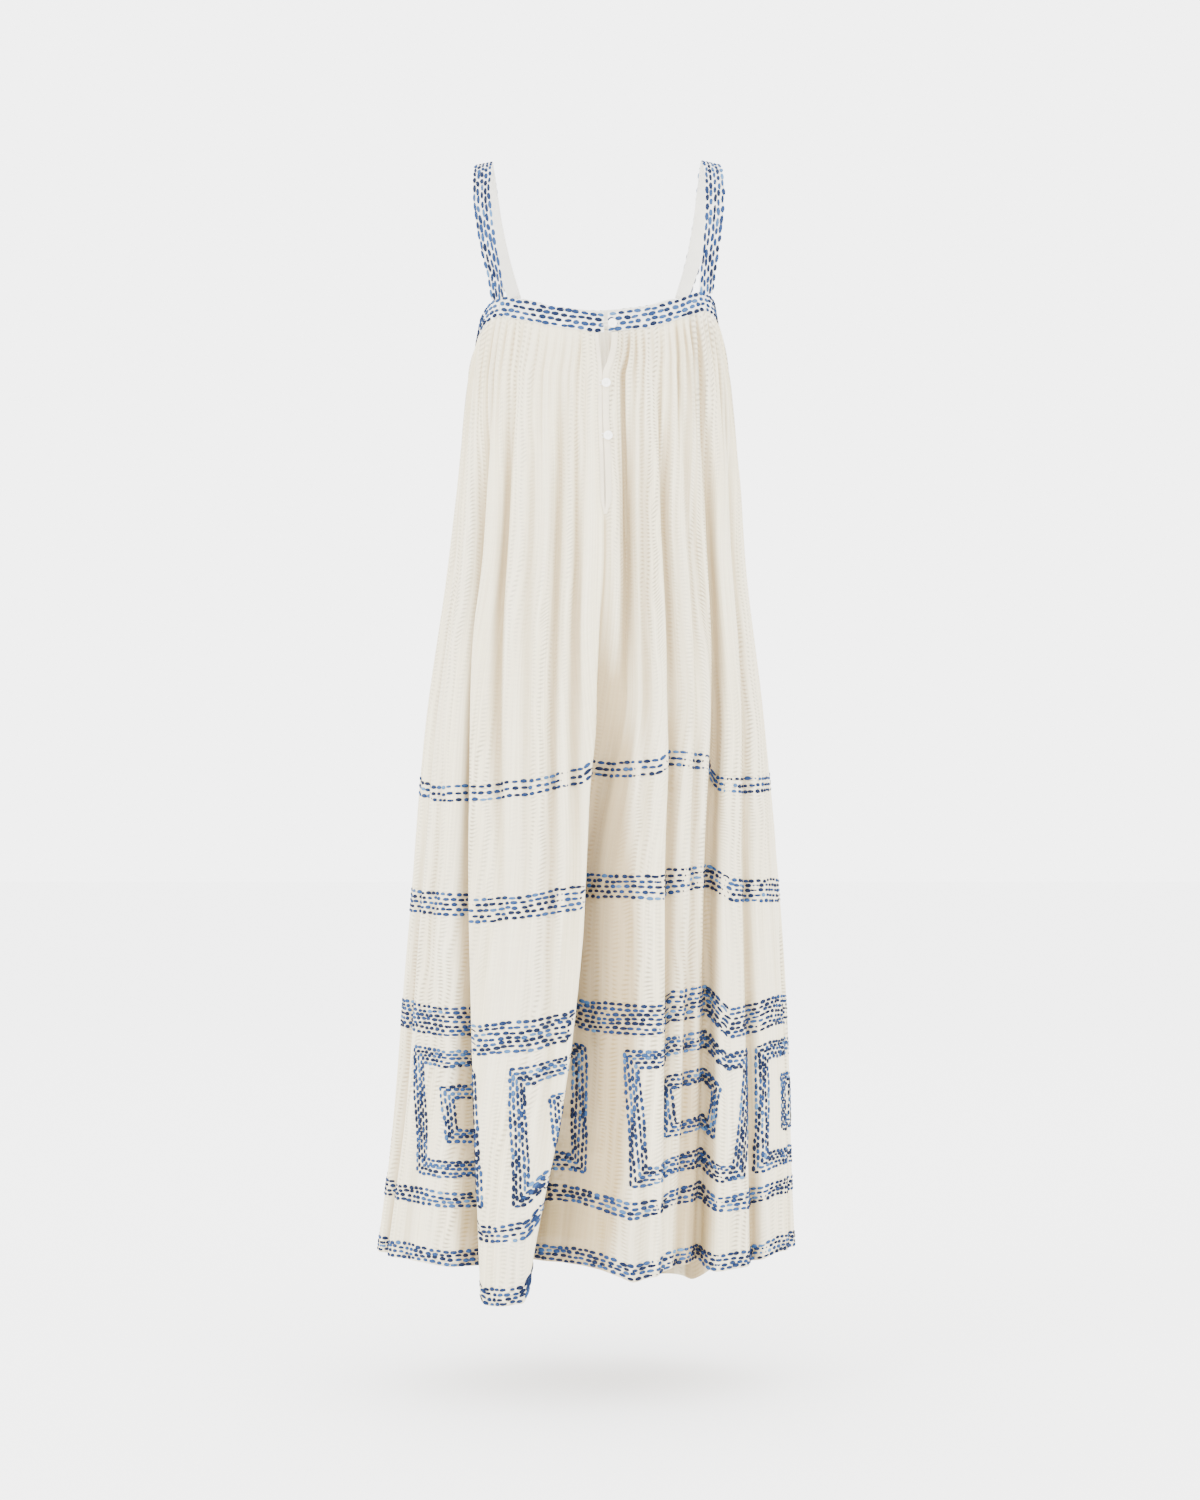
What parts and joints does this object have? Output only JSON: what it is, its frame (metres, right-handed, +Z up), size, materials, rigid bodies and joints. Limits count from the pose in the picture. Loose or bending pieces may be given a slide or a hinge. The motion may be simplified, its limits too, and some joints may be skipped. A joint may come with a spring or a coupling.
{
  "type": "maxi dress",
  "caption": "Sleeveless maxi dress, hollow as worn: gauze skirt gathered to a stitched band and shoulder straps, buttoned slit at the back, running-stitch bands and squares.",
  "frame": {"origin": "midway between the tops of the two shoulder straps, where the dress is worn on the shoulders", "axes": "+Z up along the wearer's height; -Y towards the dress's back, which has the buttoned slit and is the side pictured; +Y towards its front; +X to the right as the back is seen"},
  "size_m": [0.5004, 0.352, 1.3616],
  "materials": {
    "gauze": "thin open-weave cream cotton gauze, matt, slightly see-through",
    "band_cloth": "off-white doubled cotton with dense rows of blue and navy running stitch",
    "button_shell": "small off-white pearly dished button, soft gloss",
    "loop_thread": "off-white twisted thread, matt"
  },
  "bodies": {
    "root": {"front_panel": "gauze", "back_panel_left": "gauze", "back_panel_right": "gauze", "placket_left": "gauze", "placket_right": "gauze", "back_band_left": "band_cloth", "back_band_right": "band_cloth", "underarm_band_left": "band_cloth", "underarm_band_right": "band_cloth", "front_band": "band_cloth", "strap_left": "band_cloth", "strap_right": "band_cloth", "button_top": "button_shell", "loop_top": "loop_thread", "button_middle": "button_shell", "loop_middle": "loop_thread", "button_low": "button_shell", "loop_low": "loop_thread"}
  },
  "joints": []
}
